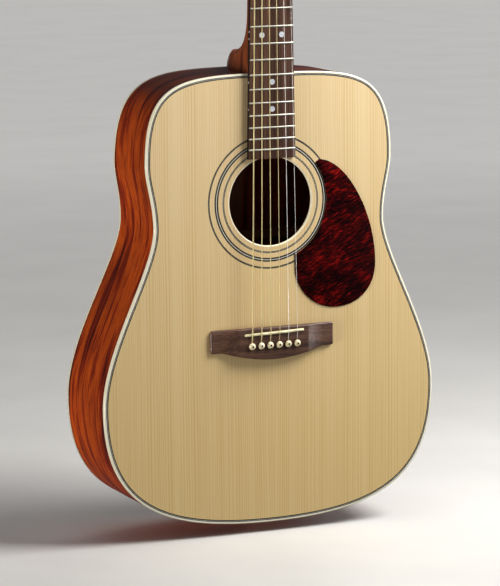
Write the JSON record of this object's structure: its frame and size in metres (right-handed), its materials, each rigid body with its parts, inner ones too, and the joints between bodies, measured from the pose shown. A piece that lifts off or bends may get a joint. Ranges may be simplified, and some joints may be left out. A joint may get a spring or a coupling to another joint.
{
  "type": "acoustic guitar",
  "caption": "Flat-top steel-string acoustic guitar with hollow braced body, pickguard, pinned bridge, fretted neck, tilted headstock and geared tuning machines.",
  "frame": {"origin": "centre of the outer face of the strap button at the tail, on the button's axis", "axes": "+Z from the tail to the headstock, +X towards the treble side, -Y out of the soundboard"},
  "size_m": [0.408, 0.1401, 1.0636],
  "materials": {
    "soundboard_spruce": "thin satin lacquer over straight-grained spruce",
    "brace_spruce": "bare quarter-sawn spruce",
    "body_mahogany": "high gloss lacquer over red-brown mahogany",
    "block_wood": "bare sanded wood",
    "cream_binding": "gloss lacquered cream plastic",
    "dark_purfling": "black and white lines under lacquer",
    "bridge_rosewood": "oiled rosewood",
    "board_rosewood": "oiled rosewood",
    "dark_veneer": "gloss lacquered dark rosewood",
    "bone": "polished bone",
    "cream_plastic": "moulded cream plastic",
    "tortoise": "gloss dark red tortoise celluloid",
    "neck_wood": "satin lacquer over mahogany",
    "nickel_silver": "polished nickel silver",
    "pearl": "polished pearl",
    "rod_steel": "bare steel bar",
    "rod_brass": "turned brass",
    "bronze_string": "phosphor bronze winding on steel",
    "plain_string": "tinned plain steel wire",
    "tuner_case_metal": "chromed die-cast",
    "tuner_steel": "nickel-plated steel",
    "button_chrome": "chromed die-cast"
  },
  "bodies": {
    "root": {"soundboard": "soundboard_spruce", "back_plate": "body_mahogany", "side_bass": "body_mahogany", "side_treble": "body_mahogany", "neck_block": "block_wood", "tail_block": "block_wood", "linings": "block_wood", "binding_top": "cream_binding", "binding_back": "cream_binding", "purfling_top": "dark_purfling", "rosette_rings": "dark_purfling", "x_brace_left": "brace_spruce", "x_brace_right": "brace_spruce", "top_bars": "brace_spruce", "back_braces": "block_wood", "back_strip": "block_wood", "bridge_plate": "block_wood", "bridge": "bridge_rosewood", "saddle": "bone", "bridge_pins": "cream_plastic", "pickguard": "tortoise", "strap_button": "cream_plastic", "neck": "neck_wood", "heel_cap": "dark_veneer", "fretboard": "board_rosewood", "frets": "nickel_silver", "inlay_dots": "pearl", "nut": "bone", "headstock_veneer": "dark_veneer", "truss_rod": "rod_steel", "string_1": "plain_string", "string_2": "plain_string", "string_3": "bronze_string", "string_4": "bronze_string", "string_5": "bronze_string", "string_6": "bronze_string", "tuner_housings": "tuner_case_metal", "tuner_bushings": "tuner_case_metal", "tuner_screws": "tuner_case_metal"},
    "truss_nut": {"truss_rod_nut": "rod_brass"},
    "worm_1": {"tuner_worm_1": "tuner_steel", "tuner_button_1": "button_chrome"},
    "post_1": {"tuner_post_1": "tuner_steel"},
    "worm_2": {"tuner_worm_2": "tuner_steel", "tuner_button_2": "button_chrome"},
    "post_2": {"tuner_post_2": "tuner_steel"},
    "worm_3": {"tuner_worm_3": "tuner_steel", "tuner_button_3": "button_chrome"},
    "post_3": {"tuner_post_3": "tuner_steel"},
    "worm_4": {"tuner_worm_4": "tuner_steel", "tuner_button_4": "button_chrome"},
    "post_4": {"tuner_post_4": "tuner_steel"},
    "worm_5": {"tuner_worm_5": "tuner_steel", "tuner_button_5": "button_chrome"},
    "post_5": {"tuner_post_5": "tuner_steel"},
    "worm_6": {"tuner_worm_6": "tuner_steel", "tuner_button_6": "button_chrome"},
    "post_6": {"tuner_post_6": "tuner_steel"}
  },
  "joints": [
    {"name": "truss_rod_adjust", "type": "hinge", "parent": "root", "child": "truss_nut", "pos_m": [0, -0.0546, 0.465], "axis": [0, 0, 1], "range_deg": [-180, 180]},
    {"name": "button_turn_1", "type": "hinge", "parent": "root", "child": "worm_1", "pos_m": [0.023, -0.03224, 0.92656], "axis": [1, 0, 0], "continuous": true},
    {"name": "post_turn_1", "type": "hinge", "parent": "root", "child": "post_1", "pos_m": [0.023, -0.03418, 0.9188], "axis": [0, -0.9703, 0.2419], "continuous": true},
    {"name": "button_turn_2", "type": "hinge", "parent": "root", "child": "worm_2", "pos_m": [0.023, -0.02305, 0.96344], "axis": [1, 0, 0], "continuous": true},
    {"name": "post_turn_2", "type": "hinge", "parent": "root", "child": "post_2", "pos_m": [0.023, -0.02498, 0.95567], "axis": [0, -0.9703, 0.2419], "continuous": true},
    {"name": "button_turn_3", "type": "hinge", "parent": "root", "child": "worm_3", "pos_m": [0.023, -0.01386, 1.00031], "axis": [1, 0, 0], "continuous": true},
    {"name": "post_turn_3", "type": "hinge", "parent": "root", "child": "post_3", "pos_m": [0.023, -0.01579, 0.99255], "axis": [0, -0.9703, 0.2419], "continuous": true},
    {"name": "button_turn_4", "type": "hinge", "parent": "root", "child": "worm_4", "pos_m": [-0.023, -0.01386, 1.00031], "axis": [-1, 0, 0], "continuous": true},
    {"name": "post_turn_4", "type": "hinge", "parent": "root", "child": "post_4", "pos_m": [-0.023, -0.01579, 0.99255], "axis": [0, -0.9703, 0.2419], "continuous": true},
    {"name": "button_turn_5", "type": "hinge", "parent": "root", "child": "worm_5", "pos_m": [-0.023, -0.02305, 0.96344], "axis": [-1, 0, 0], "continuous": true},
    {"name": "post_turn_5", "type": "hinge", "parent": "root", "child": "post_5", "pos_m": [-0.023, -0.02498, 0.95567], "axis": [0, -0.9703, 0.2419], "continuous": true},
    {"name": "button_turn_6", "type": "hinge", "parent": "root", "child": "worm_6", "pos_m": [-0.023, -0.03224, 0.92656], "axis": [-1, 0, 0], "continuous": true},
    {"name": "post_turn_6", "type": "hinge", "parent": "root", "child": "post_6", "pos_m": [-0.023, -0.03418, 0.9188], "axis": [0, -0.9703, 0.2419], "continuous": true}
  ],
  "couplings": [
    {"joint": "post_turn_1", "follows": "button_turn_1", "ratio": -0.071429},
    {"joint": "post_turn_2", "follows": "button_turn_2", "ratio": -0.071429},
    {"joint": "post_turn_3", "follows": "button_turn_3", "ratio": -0.071429},
    {"joint": "post_turn_4", "follows": "button_turn_4", "ratio": 0.071429},
    {"joint": "post_turn_5", "follows": "button_turn_5", "ratio": 0.071429},
    {"joint": "post_turn_6", "follows": "button_turn_6", "ratio": 0.071429}
  ]
}
